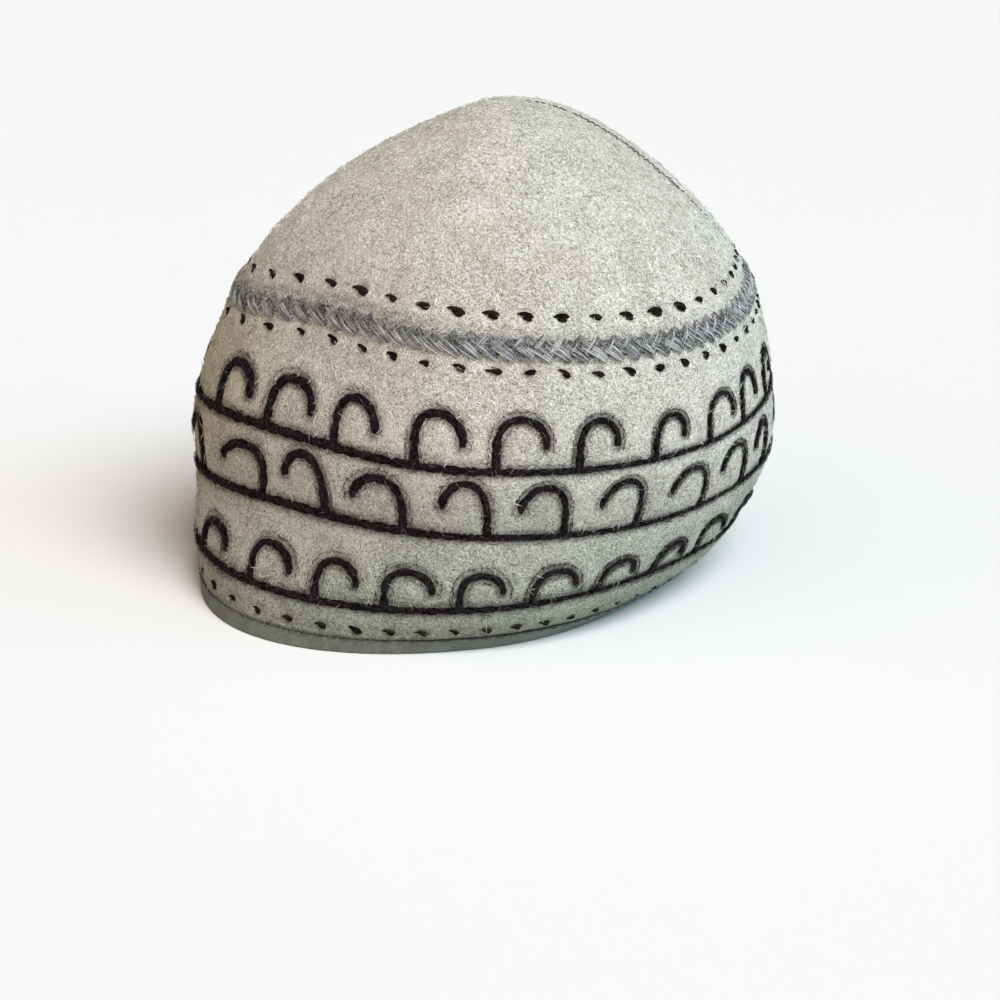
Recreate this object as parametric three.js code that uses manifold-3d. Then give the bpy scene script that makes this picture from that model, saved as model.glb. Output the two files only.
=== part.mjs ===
// A felted wool skullcap with a softly pointed crown, embroidered round its wall.
// Millimetres, +Z up. The cap stands on its rim, which lies flat at z = 0, and its best face looks
// along -Y. The felt wall is one piece. A folded binding closes the rim, a plaited band runs round
// the foot of the crown, and three rows of yarn scrolls lie on the wall between the two.

import * as THREE from 'three';
import loadManifold from 'manifold-3d';

const FELT_THICKNESS = 2.5;
const PIECE_GAP = 0.3;

const BINDING_HEIGHT = 4.2;
const BINDING_THICKNESS = 3;
const BINDING_CORNER = 0.6;

const PLAIT_WIDTH = 8;
const PLAIT_RISE = 1.7;
const PLAIT_EDGE_RISE = 1.1;
const PLAIT_SHOULDER = 0.7;

const YARN_WIDTH = 2.8;
const YARN_LIFT = 0.4;
const YARN_RISE = 1.7;
const YARN_FLAT_TOP = 0.6;
const HOOK_RISE = 1.4;
const HOOK_LIFT = 0.45;
const HOOK_ARCH = 0.46;
const HOOK_TIP_WIDTH = 0.75;
const HOOK_TIP_LENGTH = 0.6;

// Facets round the cap, up the felt wall from one section to the next, and along a hook's arch.
const AROUND = 64;
const STEPS_PER_SECTION = 2;
const HOOK_STEPS = 5;

// How finely the outer face is measured: the step for its slopes, the halvings that find a level,
// and the paces of a walk over it.
const SLOPE_STEP = 1e-3;
const LEVEL_HALVINGS = 40;
const WALK_PACES = 8;

// Level sections of the outer face, from the rim up to the peak. Each has its height, the sideways
// place of its centre, and its reach from that centre in eight directions, turning from the right:
// right, back right, back, back left, left, front left, front, front right. The last is a point.
// What is sewn along a section lies a rise up the wall from it, in the same eight directions.
const SECTIONS = [
  { name: 'rim', height: 0, centre: 0, reach: [66, 71, 79, 85, 88, 98, 81, 65] },
  {
    name: 'lower row', height: 13, centre: 0, reach: [80, 82, 85, 88, 91, 92, 86, 78],
    rise: [6, 5, 3, 1, 0, 1, 1.5, 4],
  },
  {
    name: 'middle row', height: 34, centre: 0, reach: [92, 90, 87, 87, 91, 81, 82, 84],
    rise: [7, 5, 2.5, 1, 0, 3, 1.4, 0.7],
  },
  {
    name: 'upper row', height: 56, centre: 0, reach: [93, 92, 87, 87, 90, 77, 84, 88],
    rise: [5, 4, 2, 1, 1.2, 1.5, 0, -0.5],
  },
  {
    name: 'plait', height: 90, centre: 0, reach: [86, 88, 82, 77, 76, 64, 75, 84],
    rise: [3.7, 3, 1, 0, -1, 2.5, 0.7, -1.3],
  },
  { name: 'crown', height: 118, centre: 2, reach: [64, 64, 60, 57, 55, 53, 57, 62] },
  { name: 'shoulder', height: 140, centre: 6, reach: [31, 33, 30, 25, 24, 25, 29, 31] },
  { name: 'peak', height: 148, centre: 8, reach: [0, 0, 0, 0, 0, 0, 0, 0] },
];
const PEAK = SECTIONS.length - 1;

// Rows of scrolls. Each hook stands on its row's line at a stem, rises by height, and curls over by
// reach, to the right where curl is 1 and to the left where it is -1. Its top lies a lean farther the
// same way, and its tip stops at a share of the height. Those of the front are listed, with the stem in
// degrees from the right, turning by way of the back, and the rest in millimetres. Those behind are
// alike and spaced evenly.
const SCROLL_ROWS = [
  {
    name: 'lower_scroll', section: 'lower row', curl: 1, tip: 0.42,
    front: [
      { stem: 168, reach: 14, height: 10.5, lean: 0 },
      { stem: 201, reach: 17, height: 10.5, lean: -3 },
      { stem: 221.7, reach: 16, height: 13, lean: -4 },
      { stem: 238, reach: 13.2, height: 12, lean: -1.8 },
      { stem: 252.3, reach: 14.2, height: 11.1, lean: -0.7 },
      { stem: 266.6, reach: 12.2, height: 9.8, lean: 0.9 },
      { stem: 280.6, reach: 12.5, height: 9, lean: 3.2 },
      { stem: 295.1, reach: 11, height: 7.6, lean: 4.6 },
      { stem: 309.8, reach: 10, height: 7.8, lean: 6 },
    ],
    behind: { count: 13, reach: 14, height: 10.5, lean: 0 },
  },
  {
    name: 'middle_scroll', section: 'middle row', curl: -1, tip: 0.52,
    front: [
      { stem: 193, reach: 15, height: 16, lean: 1 },
      { stem: 216.8, reach: 20, height: 13.8, lean: 0.5 },
      { stem: 235.6, reach: 15.2, height: 15.6, lean: 3.4 },
      { stem: 254.4, reach: 16, height: 15.2, lean: 0.5 },
      { stem: 271.9, reach: 12.5, height: 16.8, lean: 0.6 },
      { stem: 287.5, reach: 12.9, height: 16, lean: 0.3 },
      { stem: 303.4, reach: 12.9, height: 15.8, lean: -1.1 },
      { stem: 320.7, reach: 13.3, height: 14.5, lean: 0 },
      { stem: 334, reach: 12.3, height: 14.6, lean: 0.5 },
      { stem: 344.4, reach: 9.5, height: 15, lean: -1.5 },
    ],
    behind: { count: 10, reach: 14, height: 14.5, lean: 0 },
  },
  {
    name: 'upper_scroll', section: 'upper row', curl: 1, tip: 0.42,
    front: [
      { stem: 165, reach: 14.5, height: 14.5, lean: 0 },
      { stem: 198, reach: 15.4, height: 16, lean: -2.2 },
      { stem: 215.5, reach: 17.2, height: 15.7, lean: -0.7 },
      { stem: 236.9, reach: 14.6, height: 15.2, lean: -0.2 },
      { stem: 257.3, reach: 14.5, height: 15.2, lean: 0.1 },
      { stem: 273.7, reach: 14.1, height: 14.6, lean: 1.1 },
      { stem: 289.9, reach: 11.5, height: 13.6, lean: 1.4 },
      { stem: 306.3, reach: 10.4, height: 12.6, lean: 1.5 },
      { stem: 320.7, reach: 11.8, height: 13.8, lean: 0 },
      { stem: 332.6, reach: 10, height: 14.6, lean: -2 },
      { stem: 345.4, reach: 10, height: 15, lean: -2 },
    ],
    behind: { count: 10, reach: 14.5, height: 14.5, lean: 0 },
  },
];

const FINISHES = {
  felt: { color: 0xbdb9ab, roughness: 0.95 },
  binding: { color: 0x85867c, roughness: 0.9 },
  plait: { color: 0x77747c, roughness: 0.85 },
  yarn: { color: 0x221a22, roughness: 0.9 },
};

// Smooth curve through two middle values, steered by the values before and after them.
function smoothBetween(before, start, end, after, share) {
  const slope = end - before;
  const bend = 2 * before - 5 * start + 4 * end - after;
  const twist = 3 * start - before - 3 * end + after;
  return start + 0.5 * share * (slope + share * (bend + share * twist));
}

// One column of the section table at any level: 0 is the rim, PEAK the peak. Beyond the rim the
// column runs on straight, and beyond the peak it mirrors, so that the peak is round.
function columnAt(level, read, mirrored) {
  const row = Math.min(Math.floor(level), PEAK - 1);
  const values = SECTIONS.map(read);
  const below = row > 0 ? values[row - 1] : 2 * values[0] - values[1];
  const above = row + 2 <= PEAK ? values[row + 2] : mirrored * values[PEAK - 1];
  return smoothBetween(below, values[row], values[row + 1], above, level - row);
}

function heightAt(level) {
  return columnAt(level, (section) => section.height, 1);
}

// The level at which the outer face reaches a height, found by halving.
function levelAt(height) {
  let low = 0;
  let high = PEAK;
  for (let halving = 0; halving < LEVEL_HALVINGS; halving += 1) {
    const middle = (low + high) / 2;
    if (heightAt(middle) < height) {
      low = middle;
    } else {
      high = middle;
    }
  }
  return low;
}

// A value at any angle, in radians from the right, from its values in the eight directions.
function betweenDirections(valueIn, angle) {
  const count = SECTIONS[0].reach.length;
  const turn = ((angle / (2 * Math.PI)) * count + count) % count;
  const side = Math.floor(turn) % count;
  const near = [-1, 0, 1, 2].map((step) => valueIn((side + step + count) % count));
  return smoothBetween(...near, turn - Math.floor(turn));
}

// A point of the outer face, at a level and an angle.
function facePoint(level, angle) {
  const reach = betweenDirections(
    (direction) => columnAt(level, (section) => section.reach[direction], -1),
    angle,
  );
  const centre = columnAt(level, (section) => section.centre, 1);
  return new THREE.Vector3(
    centre + reach * Math.cos(angle),
    reach * Math.sin(angle),
    heightAt(level),
  );
}

// The outer face near a point: its outward normal, and how many millimetres one radian round it and
// one level up it cover.
function faceFrame(level, angle) {
  const point = facePoint(level, angle);
  const round = facePoint(level, angle + SLOPE_STEP).sub(point).divideScalar(SLOPE_STEP);
  const lower = Math.max(level - SLOPE_STEP, 0);
  const upper = Math.min(level + SLOPE_STEP, PEAK);
  const up = facePoint(upper, angle).sub(facePoint(lower, angle)).divideScalar(upper - lower);
  const normal = new THREE.Vector3().crossVectors(round, up).normalize();
  return { point, normal, perRadian: round.length(), perLevel: up.length() };
}

function raisedPoint(level, angle, lift) {
  const { point, normal } = faceFrame(level, angle);
  return point.addScaledVector(normal, lift);
}

// The level of what is sewn along a section, at an angle.
function rowLevel(name, angle) {
  const level = SECTIONS.findIndex((section) => section.name === name);
  const rise = betweenDirections((direction) => SECTIONS[level].rise[direction], angle);
  return level + rise / faceFrame(level, angle).perLevel;
}

// A closed skin over rings of equal length. A ring of one point is a pole that closes an end, and a
// looped skin joins its last ring to its first.
function skin(rings, looped = false) {
  const positions = [];
  const index = [];
  const starts = rings.map((ring) => {
    const start = positions.length / 3;
    ring.forEach((point) => positions.push(point.x, point.y, point.z));
    return start;
  });
  const bands = looped ? rings.length : rings.length - 1;
  for (let band = 0; band < bands; band += 1) {
    const next = (band + 1) % rings.length;
    const sides = Math.max(rings[band].length, rings[next].length);
    const here = (side) => starts[band] + (side % rings[band].length);
    const there = (side) => starts[next] + (side % rings[next].length);
    for (let side = 0; side < sides; side += 1) {
      if (rings[next].length > 1) {
        index.push(here(side), there(side), there(side + 1));
      }
      if (rings[band].length > 1) {
        index.push(here(side), there(side + 1), here(side + 1));
      }
    }
  }
  const geometry = new THREE.BufferGeometry();
  geometry.setAttribute('position', new THREE.Float32BufferAttribute(positions, 3));
  geometry.setIndex(index);
  return geometry;
}

const anglesRound = Array.from({ length: AROUND }, (_, column) => (2 * Math.PI * column) / AROUND);

// The felt wall: down the outer face from the peak to the edge above the binding, then up inside.
function feltWall() {
  const rows = [levelAt(BINDING_HEIGHT + PIECE_GAP)];
  for (let step = STEPS_PER_SECTION; step < PEAK * STEPS_PER_SECTION; step += 1) {
    rows.push(step / STEPS_PER_SECTION);
  }
  const ring = (level, lift) => anglesRound.map((angle) => raisedPoint(level, angle, lift));
  const peak = facePoint(PEAK, 0);
  const outside = rows.map((level) => ring(level, 0)).reverse();
  const inside = rows.map((level) => ring(level, -FELT_THICKNESS));
  const insidePeak = peak.clone().setZ(peak.z - FELT_THICKNESS);
  inside[0].forEach((point) => point.setZ(heightAt(rows[0])));
  return skin([[peak], ...outside, ...inside, [insidePeak]]);
}

// The binding: a folded strip of rounded section, flush with the felt, flat where it stands.
function rimBinding() {
  const top = BINDING_HEIGHT;
  const corner = BINDING_CORNER;
  const inner = BINDING_THICKNESS;
  const outline = [
    { height: 0, inset: corner },
    { height: corner, inset: 0 },
    { height: top - corner, inset: 0 },
    { height: top, inset: corner },
    { height: top, inset: inner - corner },
    { height: top - corner, inset: inner },
    { height: corner, inset: inner },
    { height: 0, inset: inner - corner },
  ];
  const levels = outline.map(({ height }) => levelAt(height));
  const section = (angle) => outline.map(({ height, inset }, place) => {
    const { point, normal } = faceFrame(levels[place], angle);
    const inward = normal.setZ(0).normalize().multiplyScalar(-inset);
    return point.add(inward).setZ(height);
  });
  return skin(anglesRound.map(section), true);
}

// A band that is sewn round the wall along one section. Its outline lists how far up the wall and how
// far out from it each corner is.
function wallBand(name, outline) {
  const section = (angle) => {
    const level = rowLevel(name, angle);
    const { perLevel } = faceFrame(level, angle);
    return outline.map((corner) => raisedPoint(level + corner.up / perLevel, angle, corner.out));
  };
  return skin(anglesRound.map(section), true);
}

function plaitedBand() {
  const half = PLAIT_WIDTH / 2;
  const shoulder = half * PLAIT_SHOULDER;
  return wallBand('plait', [
    { up: -half, out: PIECE_GAP },
    { up: -shoulder, out: PIECE_GAP + PLAIT_EDGE_RISE },
    { up: 0, out: PIECE_GAP + PLAIT_RISE },
    { up: shoulder, out: PIECE_GAP + PLAIT_EDGE_RISE },
    { up: half, out: PIECE_GAP },
  ]);
}

function yarnOutline(width, lift, rise) {
  const half = width / 2;
  return [
    { up: -half, out: lift },
    { up: -half * YARN_FLAT_TOP, out: lift + rise },
    { up: half * YARN_FLAT_TOP, out: lift + rise },
    { up: half, out: lift },
  ];
}

// The place on the wall that is reached from a stem by going along the row and up from it.
function walkFrom(level, angle, along, up) {
  const place = { level, angle };
  for (let pace = 0; pace < WALK_PACES; pace += 1) {
    const { perRadian, perLevel } = faceFrame(place.level, place.angle);
    place.angle += along / WALK_PACES / perRadian;
    place.level += up / WALK_PACES / perLevel;
  }
  return place;
}

// One hook: up its stem, over its arch and down to its tip, as a yarn laid on the wall.
function yarnHook(row, hook) {
  const stemAngle = THREE.MathUtils.degToRad(hook.stem % 360);
  const level = rowLevel(row.section, stemAngle);
  const arch = hook.height * HOOK_ARCH;
  const stem = hook.height - arch;
  const course = [{ over: 0, up: 0 }];
  for (let step = 0; step <= HOOK_STEPS; step += 1) {
    const turn = (Math.PI * step) / HOOK_STEPS;
    course.push({ over: (hook.reach / 2) * (1 - Math.cos(turn)), up: stem + arch * Math.sin(turn) });
  }
  course.push({ over: hook.reach, up: hook.height * row.tip });
  const path = course.map(({ over, up }) => {
    const lean = (hook.lean * up) / hook.height;
    return { along: row.curl * (over + lean), up };
  });
  const frames = path.map(({ along, up }) => {
    const place = walkFrom(level, stemAngle, along, up);
    return faceFrame(place.level, place.angle);
  });
  const last = frames.length - 1;
  const heading = (step) => frames[Math.min(step + 1, last)].point.clone()
    .sub(frames[Math.max(step - 1, 0)].point)
    .normalize();
  const rings = frames.map(({ point, normal }, step) => {
    const side = new THREE.Vector3().crossVectors(normal, heading(step)).normalize();
    const width = step === last ? YARN_WIDTH * HOOK_TIP_WIDTH : YARN_WIDTH;
    return yarnOutline(width, HOOK_LIFT, HOOK_RISE).map((corner) => point.clone()
      .addScaledVector(side, corner.up)
      .addScaledVector(normal, corner.out));
  });
  const middle = HOOK_LIFT + HOOK_RISE / 2;
  const start = frames[0].point.clone().addScaledVector(frames[0].normal, middle);
  const tip = frames[last].point.clone()
    .addScaledVector(frames[last].normal, middle)
    .addScaledVector(heading(last), HOOK_TIP_LENGTH);
  return skin([[start], ...rings, [tip]]);
}

// All hooks of a row: those of the front as listed, then those behind.
function rowHooks({ front, behind }) {
  const last = front[front.length - 1].stem;
  const gap = (front[0].stem + 360 - last) / (behind.count + 1);
  const others = Array.from(
    { length: behind.count },
    (_, place) => ({ ...behind, stem: last + gap * (place + 1) }),
  );
  return [...front, ...others];
}

const manifold = await loadManifold();
manifold.setup();

function solidOf(geometry) {
  return new manifold.Manifold(new manifold.Mesh({
    numProp: 3,
    vertProperties: new Float32Array(geometry.attributes.position.array),
    triVerts: new Uint32Array(geometry.index.array),
  }));
}

function geometryOf(solid) {
  const mesh = solid.getMesh();
  const geometry = new THREE.BufferGeometry();
  geometry.setAttribute('position', new THREE.BufferAttribute(mesh.vertProperties, mesh.numProp));
  geometry.setIndex(new THREE.BufferAttribute(mesh.triVerts, 1));
  return geometry;
}

// One row of scrolls: the line round the wall with all its hooks joined to it.
function scrollRow(row) {
  const line = solidOf(wallBand(row.section, yarnOutline(YARN_WIDTH, YARN_LIFT, YARN_RISE)));
  const hooks = rowHooks(row).map((hook) => solidOf(yarnHook(row, hook)));
  return geometryOf(hooks.reduce((joined, hook) => joined.add(hook), line));
}

function piece(name, geometry, finish) {
  const material = new THREE.MeshStandardMaterial({ ...FINISHES[finish], metalness: 0 });
  const mesh = new THREE.Mesh(geometry, material);
  mesh.name = name;
  return mesh;
}

const cap = new THREE.Group();
cap.add(piece('felt_crown', feltWall(), 'felt'));
cap.add(piece('rim_binding', rimBinding(), 'binding'));
cap.add(piece('plaited_band', plaitedBand(), 'plait'));
SCROLL_ROWS.forEach((row) => cap.add(piece(row.name, scrollRow(row), 'yarn')));

// The origin lies on the floor under the middle of the cap's outline.
const middle = new THREE.Box3().setFromObject(cap).getCenter(new THREE.Vector3());
cap.position.set(-middle.x, -middle.y, 0);

export default cap;
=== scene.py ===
# %% [markdown]
# # A felted wool skullcap
# The cap is one soft felt wall with a slightly pointed crown. Yarn scrolls, running stitches and a
# plait are sewn on it, and a folded binding closes its rim. The solids of the cap are loaded first.
# They fix where everything is. The main soft pieces made below each take the place of one of them, and
# stitches and fibres are added to these.

import math

import bpy
import numpy as np
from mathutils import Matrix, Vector, kdtree, noise


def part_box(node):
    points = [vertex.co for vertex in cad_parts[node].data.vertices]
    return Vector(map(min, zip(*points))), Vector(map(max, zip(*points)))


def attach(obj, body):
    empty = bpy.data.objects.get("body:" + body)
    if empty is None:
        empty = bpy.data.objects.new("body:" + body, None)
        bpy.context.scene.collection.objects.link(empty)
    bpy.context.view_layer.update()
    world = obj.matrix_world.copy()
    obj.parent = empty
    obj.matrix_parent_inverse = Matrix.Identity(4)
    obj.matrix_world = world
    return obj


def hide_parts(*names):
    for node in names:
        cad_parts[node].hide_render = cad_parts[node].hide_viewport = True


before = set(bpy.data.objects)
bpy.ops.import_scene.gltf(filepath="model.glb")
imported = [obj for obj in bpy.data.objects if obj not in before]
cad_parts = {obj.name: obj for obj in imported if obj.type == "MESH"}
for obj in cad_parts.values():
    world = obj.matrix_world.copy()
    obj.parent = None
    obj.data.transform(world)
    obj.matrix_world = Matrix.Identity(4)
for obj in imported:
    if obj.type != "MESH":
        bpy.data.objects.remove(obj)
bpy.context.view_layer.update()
print("solids:", ", ".join(sorted(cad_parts)))

# %% [markdown]
# ## The face of the cap
# Everything on a cap follows its face, so the face is written once, as a formula, and used for all
# pieces. Level sections give it: each has a height, the sideways place of its centre, and how far
# the felt reaches from there in eight directions. A smooth curve runs through them, round and up.
# A place on the face is a level (0 at the rim, 7 at the peak) and an angle from the right side,
# turning by way of the back, so that the front is at 270 degrees. What is sewn along a section was
# done by eye, so it lies a small rise up or down from it, listed in the same eight directions.

# %% Sections of the face, in millimetres
MM = 0.001
FULL_TURN = 2 * math.pi

SECTION_COLUMNS = ("height", "centre", "right", "back right", "back", "back left",
                   "left", "front left", "front", "front right")
SECTION_ROWS = {
    "rim": (0, 0, 66, 71, 79, 85, 88, 98, 81, 65),
    "lower row": (13, 0, 80, 82, 85, 88, 91, 92, 86, 78),
    "middle row": (34, 0, 92, 90, 87, 87, 91, 81, 82, 84),
    "upper row": (56, 0, 93, 92, 87, 87, 90, 77, 84, 88),
    "plait": (90, 0, 86, 88, 82, 77, 76, 64, 75, 84),
    "crown": (118, 2, 64, 64, 60, 57, 55, 53, 57, 62),
    "shoulder": (140, 6, 31, 33, 30, 25, 24, 25, 29, 31),
    "peak": (148, 8, 0, 0, 0, 0, 0, 0, 0, 0),
}
ROW_RISES = {
    "lower row": (6, 5, 3, 1, 0, 1, 1.5, 4),
    "middle row": (7, 5, 2.5, 1, 0, 3, 1.4, 0.7),
    "upper row": (5, 4, 2, 1, 1.2, 1.5, 0, -0.5),
    "plait": (3.7, 3, 1, 0, -1, 2.5, 0.7, -1.3),
}
SECTIONS = np.array(list(SECTION_ROWS.values()), float)
LEVEL_OF = {name: level for level, name in enumerate(SECTION_ROWS)}
PEAK = LEVEL_OF["peak"]
DIRECTIONS = len(SECTION_COLUMNS) - 2
print("face:", len(SECTIONS), "sections, peak at", SECTIONS[PEAK][0], "mm")


# %% The face as a formula
def smooth_between(before, start, end, after, share):
    """Smooth curve through two middle values, steered by the values before and after them."""
    slope = end - before
    bend = 2 * before - 5 * start + 4 * end - after
    twist = 3 * start - before - 3 * end + after
    return start + 0.5 * share * (slope + share * (bend + share * twist))


def columns_at(level):
    """All columns of the section table at each level. Beyond the peak the reaches mirror."""
    mirror = np.array([1, 1] + [-1] * DIRECTIONS)
    below_rim = 2 * SECTIONS[0] - SECTIONS[1]
    padded = np.vstack([below_rim, SECTIONS, mirror * SECTIONS[PEAK - 1]])
    row = np.clip(np.floor(level).astype(int), 0, PEAK - 1)
    share = (level - row)[:, None]
    return smooth_between(padded[row], padded[row + 1], padded[row + 2], padded[row + 3], share)


def between_directions(values, angle):
    """Values at angles, from one row of values in the eight directions for each angle."""
    turn = (angle / FULL_TURN * DIRECTIONS) % DIRECTIONS
    side = np.floor(turn).astype(int)
    each = np.arange(len(turn))
    near = [values[each, (side + step) % DIRECTIONS] for step in (-1, 0, 1, 2)]
    return smooth_between(*near, turn - side)


def face_point(level, angle):
    """Points of the face, in millimetres."""
    columns = columns_at(level)
    reach = between_directions(columns[:, 2:], angle)
    across = columns[:, 1] + reach * np.cos(angle)
    return np.stack([across, reach * np.sin(angle), columns[:, 0]], axis=1)


def unit(vectors):
    return vectors / np.linalg.norm(vectors, axis=-1, keepdims=True)


def face_frame(level, angle):
    """Points of the face with the outward normal, the way round, and millimetres per radian and level."""
    step = 1e-3
    level = np.clip(level, step, PEAK - 10 * step)
    round_way = (face_point(level, angle + step) - face_point(level, angle - step)) / (2 * step)
    up_way = (face_point(level + step, angle) - face_point(level - step, angle)) / (2 * step)
    normal = unit(np.cross(round_way, up_way))
    per_radian = np.linalg.norm(round_way, axis=1)
    per_level = np.linalg.norm(up_way, axis=1)
    return face_point(level, angle), normal, unit(round_way), per_radian, per_level


# %% Finding places on the face
def row_level(name, angle):
    """The levels of what is sewn along a section, at angles."""
    level = np.full(len(angle), float(LEVEL_OF[name]))
    rise = between_directions(np.tile(ROW_RISES[name], (len(angle), 1)), angle)
    return level + rise / face_frame(level, angle)[4]


def level_at(height):
    """The level at which the face reaches a height."""
    levels = np.linspace(0, PEAK, 4000)
    return np.interp(height, columns_at(levels)[:, 0], levels)


def walk(level, angle, along, up, paces=8):
    """The places reached by going along and up the face from a start, in small paces."""
    level, angle = np.broadcast_arrays(level, angle, along)[:2]
    for _ in range(paces):
        per_radian, per_level = face_frame(level, angle)[3:]
        angle = angle + along / paces / per_radian
        level = level + up / paces / per_level
    return level, angle


rim_middle = face_point(*walk(np.zeros(1), np.full(1, math.radians(270)), np.zeros(1), 10.0))[0]
print("10 mm up from the front of the rim:", rim_middle.round(1))

# %% [markdown]
# The cap's origin is under the middle of its outline, while the sections are measured from their own
# axis. The felt solid tells how far apart the two are.

# %% Where the sections stand in the frame
BINDING_HEIGHT = 4.2
BINDING_THICKNESS = 3
FELT_EDGE = BINDING_HEIGHT + 0.3
SOLID_COLUMNS = 64
SOLID_LEVEL_STEP = 0.5

solid_levels = np.concatenate([[level_at(FELT_EDGE)], np.arange(1, PEAK, SOLID_LEVEL_STEP)])
solid_angles = np.arange(SOLID_COLUMNS) / SOLID_COLUMNS * FULL_TURN
solid_places = np.array([(level, angle) for level in solid_levels for angle in solid_angles])
section_points = face_point(*solid_places.T)
felt_low, felt_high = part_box("felt_crown")
felt_middle = np.array((felt_low + felt_high) / 2) / MM
ORIGIN_SHIFT = felt_middle - (section_points.min(0) + section_points.max(0)) / 2
ORIGIN_SHIFT[2] = 0


def placed(points):
    """Points in millimetres from the sections' axis, as metres in the frame."""
    return (points + ORIGIN_SHIFT) * MM


print("sections stand", ORIGIN_SHIFT.round(2), "mm from the origin")

# %% [markdown]
# ## Where the yarn runs
# Three lines of dark yarn go round the wall, and hooks like small canes stand on each: up a stem, over
# an arch, and down to a tip. The sewer made them by eye, no two alike, so those of the front are
# listed: the stem in degrees, then the reach, the height and the lean of the top in millimetres.
# Those behind are alike and spaced evenly, given by their number, reach and height. Each row has its
# own share of the height at which a tip stops, and the yarn is a little thinner in the lowest row.

# %% Lines and hooks of the scroll rows
SCROLL_ROWS = {
    "lower_scroll": dict(section="lower row", curl=1, tip=0.44, yarn=0.86, behind=(13, 14, 10.5), front=(
        (168, 14, 10.5, 0), (201, 17, 10.5, -3), (221.7, 16, 13, -4), (238, 13.2, 12, -1.8),
        (252.3, 14.2, 11.1, -0.7), (266.6, 12.2, 9.8, 0.9), (280.6, 12.5, 9, 3.2), (295.1, 11, 7.6, 4.6),
        (309.8, 10, 7.8, 6))),
    "middle_scroll": dict(section="middle row", curl=-1, tip=0.53, yarn=1.0, behind=(10, 14, 14.5), front=(
        (193, 15, 16, 1), (216.8, 20, 13.8, 0.5), (235.6, 15.2, 15.6, 3.4), (254.4, 16, 15.2, 0.5),
        (271.9, 12.5, 16.8, 0.6), (287.5, 12.9, 16, 0.3), (303.4, 12.9, 15.8, -1.1),
        (320.7, 13.3, 14.5, 0), (334, 12.3, 14.6, 0.5), (344.4, 9.5, 15, -1.5))),
    "upper_scroll": dict(section="upper row", curl=1, tip=0.42, yarn=1.04, behind=(10, 14.5, 14.5), front=(
        (165, 14.5, 14.5, 0), (198, 15.4, 16, -2.2), (215.5, 17.2, 15.7, -0.7), (236.9, 14.6, 15.2, -0.2),
        (257.3, 14.5, 15.2, 0.1), (273.7, 14.1, 14.6, 1.1), (289.9, 11.5, 13.6, 1.4),
        (306.3, 10.4, 12.6, 1.5), (320.7, 11.8, 13.8, 0), (332.6, 10, 14.6, -2), (345.4, 10, 15, -2))),
}
# A hook's shape as shares of its reach and height. Its last two heights come from the tip of its row.
HOOK_SHAPE = {
    "along": (0, -0.02, -0.02, 0.04, 0.19, 0.44, 0.69, 0.89, 0.99, 0.985),
    "up": (0, 0.26, 0.52, 0.77, 0.94, 1.0, 0.95, 0.79),
}
HOOK_STEPS = 8
HOOK_RINGS = 42
HAND_DIFFERENCE = 0.015

hand = np.random.default_rng(7)
print("hooks listed:", sum(len(row["front"]) for row in SCROLL_ROWS.values()))


# %% The shape of one hook
def lengths_along(points):
    """The length of a path from its start to each of its points."""
    steps = np.linalg.norm(np.diff(points, axis=0), axis=1)
    return np.concatenate([[0], np.cumsum(steps)])


def evenly(points, count, *others):
    """Points spread evenly along a path, with other values of the path carried along."""
    length = lengths_along(points)
    wanted = np.linspace(0, length[-1], count)
    columns = np.column_stack([points, *others])
    return np.stack([np.interp(wanted, length, column) for column in columns.T], axis=1)


def hook_path(curl, tip, reach, height, lean):
    """One hook, as millimetres along and up from the foot of its stem."""
    before_tip = 0.45 * HOOK_SHAPE["up"][-1] + 0.55 * tip
    shape = np.column_stack([HOOK_SHAPE["along"], (*HOOK_SHAPE["up"], before_tip, tip)])
    ends = np.vstack([2 * shape[0] - shape[1], shape, 2 * shape[-1] - shape[-2]])
    share = np.linspace(0, 1, HOOK_STEPS, endpoint=False)[:, None]
    stretches = [smooth_between(*ends[start:start + 4], share) for start in range(len(shape) - 1)]
    over, up = np.vstack([*stretches, shape[-1:]]).T
    path = evenly(np.column_stack([curl * (over * reach + up * lean), up * height]), HOOK_RINGS)
    return path * (1 + HAND_DIFFERENCE * hand.standard_normal(2))


def row_hooks(row):
    """Stem, reach, height and lean of every hook of a row: those of the front, then those behind."""
    count, reach, height = row["behind"]
    first, last = row["front"][0][0], row["front"][-1][0]
    gap = (first + 360 - last) / (count + 1)
    behind = [(last + gap * (place + 1), reach, height, 0) for place in range(count)]
    return [*row["front"], *behind]


# %% Lay the lines and hooks on the face
ROUND = np.linspace(0, FULL_TURN, 1500)
LINE_SPACING = 0.8


def line_places(levels, spacing):
    """Places a spacing apart on a line that goes all round, given by its levels at the angles ROUND."""
    points = face_point(levels, ROUND)
    count = round(lengths_along(points)[-1] / spacing)
    even = evenly(points, count + 1, levels, ROUND)[:-1]
    return even[:, 3], even[:, 4]


yarn_lines = {}
yarn_hooks = {}
for name, row in SCROLL_ROWS.items():
    yarn_lines[name] = line_places(row_level(row["section"], ROUND), LINE_SPACING)
    yarn_hooks[name] = []
    for degrees, *sizes in row_hooks(row):
        stem = np.full(HOOK_RINGS, math.radians(degrees))
        foot = row_level(row["section"], stem)
        yarn_hooks[name].append(walk(foot, stem, *hook_path(row["curl"], row["tip"], *sizes).T))
    print(name, len(yarn_hooks[name]), "hooks")

# %% [markdown]
# ## Where the running stitches sit
# Three rows of short dark stitches go round the cap: above the plait, below it, and just over the
# binding. They are wider apart at the left than on the right, and a little closer at the very
# front. The gap is written as a function of the angle, and each row is filled with a whole number of
# stitches at such gaps.

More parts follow.
